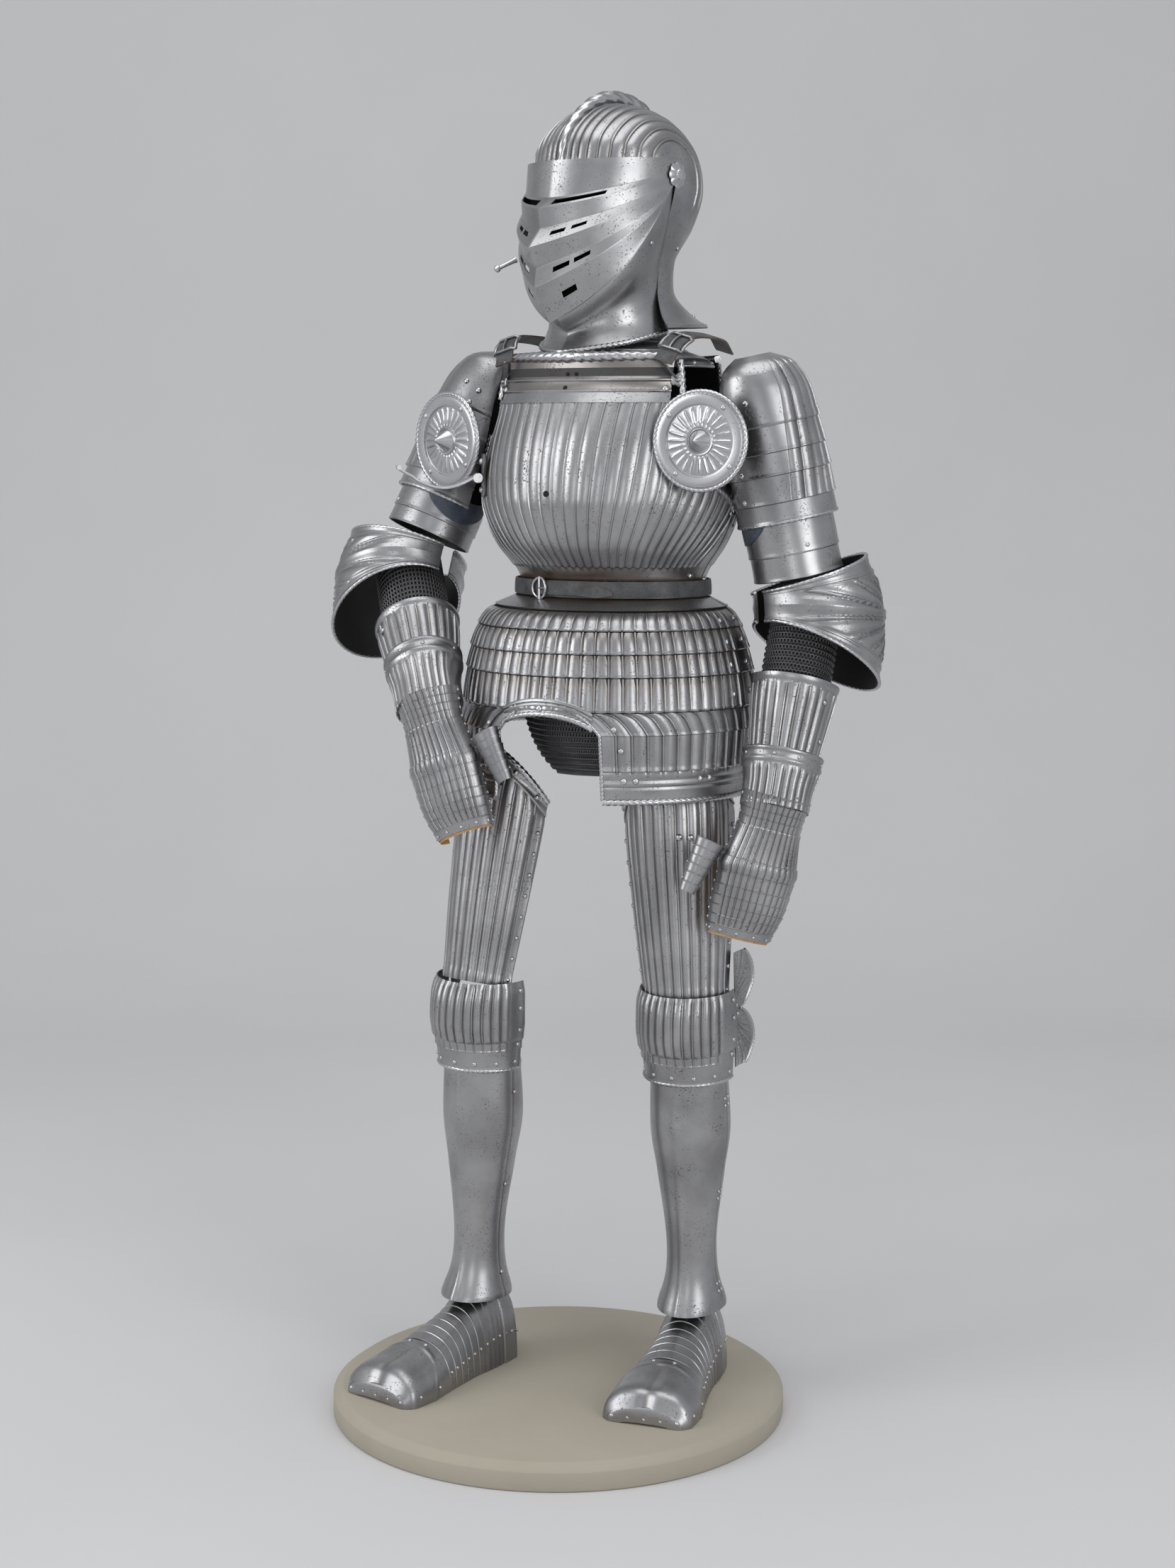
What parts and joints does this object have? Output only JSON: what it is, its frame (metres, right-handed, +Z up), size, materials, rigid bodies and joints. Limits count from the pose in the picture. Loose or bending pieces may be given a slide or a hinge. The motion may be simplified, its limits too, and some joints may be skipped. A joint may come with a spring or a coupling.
{
  "type": "suit of plate armour on a round plinth",
  "caption": "Life-size fluted steel plate armour for a whole figure, standing empty on a round plinth, with a lifting visor and a folding lance rest.",
  "frame": {"origin": "centre of the plinth's underside", "axes": "+Z up through the helmet, -Y the way the suit faces, +X the wearer's left"},
  "size_m": [0.7617, 0.625, 1.801],
  "materials": {
    "steel": "polished plate steel with fine scratches and dark pitting",
    "mail": "dark riveted mail of small linked rings",
    "leather": "old dark grey-green harness leather with pale cut edges",
    "plinth_paint": "matte beige paint on board"
  },
  "bodies": {
    "suit": {"plinth": "plinth_paint", "breastplate": "steel", "neck_band": "steel", "backplate": "steel", "belt": "leather", "belt_buckle": "steel", "gusset_left": "steel", "gusset_right": "steel", "strap_left": "leather", "strap_right": "leather", "besagew_left": "steel", "besagew_right": "steel", "lance_bracket": "steel", "gorget": "steel", "waist_flange": "steel", "fauld_lame_1": "steel", "fauld_lame_2": "steel", "fauld_lame_3": "steel", "fauld_lame_4": "steel", "culet": "steel", "tasset_left": "steel", "tasset_right": "steel", "mail_skirt": "mail", "skull": "steel", "bevor": "steel", "pivot_left": "steel", "pivot_right": "steel", "armpit_mail_left": "mail", "armpit_mail_right": "mail", "pauldron_left": "steel", "rerebrace_left": "steel", "elbow_mail_left": "mail", "cuff_left": "steel", "gauntlet_left": "steel", "thumb_left": "steel", "couter_left": "steel", "pauldron_right": "steel", "rerebrace_right": "steel", "elbow_mail_right": "mail", "cuff_right": "steel", "gauntlet_right": "steel", "thumb_right": "steel", "couter_right": "steel", "cuisse_top_left": "steel", "cuisse_left": "steel", "poleyn_left": "steel", "knee_wing_left": "steel", "greave_left": "steel", "sabaton_left": "steel", "toe_cap_left": "steel", "cuisse_top_right": "steel", "cuisse_right": "steel", "poleyn_right": "steel", "knee_wing_right": "steel", "greave_right": "steel", "sabaton_right": "steel", "toe_cap_right": "steel"},
    "visor": {"visor": "steel", "visor_peg": "steel"},
    "lance_arm": {"lance_arm": "steel"}
  },
  "joints": [
    {"name": "visor_hinge", "type": "hinge", "parent": "suit", "child": "visor", "pos_m": [0.016, 0.115, 1.678], "axis": [-0.9877, 0.1564, 0], "range_deg": [0, 40]},
    {"name": "lance_rest_hinge", "type": "hinge", "parent": "suit", "child": "lance_arm", "pos_m": [-0.12322, -0.00504, 1.281], "axis": [-0.6947, 0.7193, 0], "range_deg": [0, 60]}
  ]
}
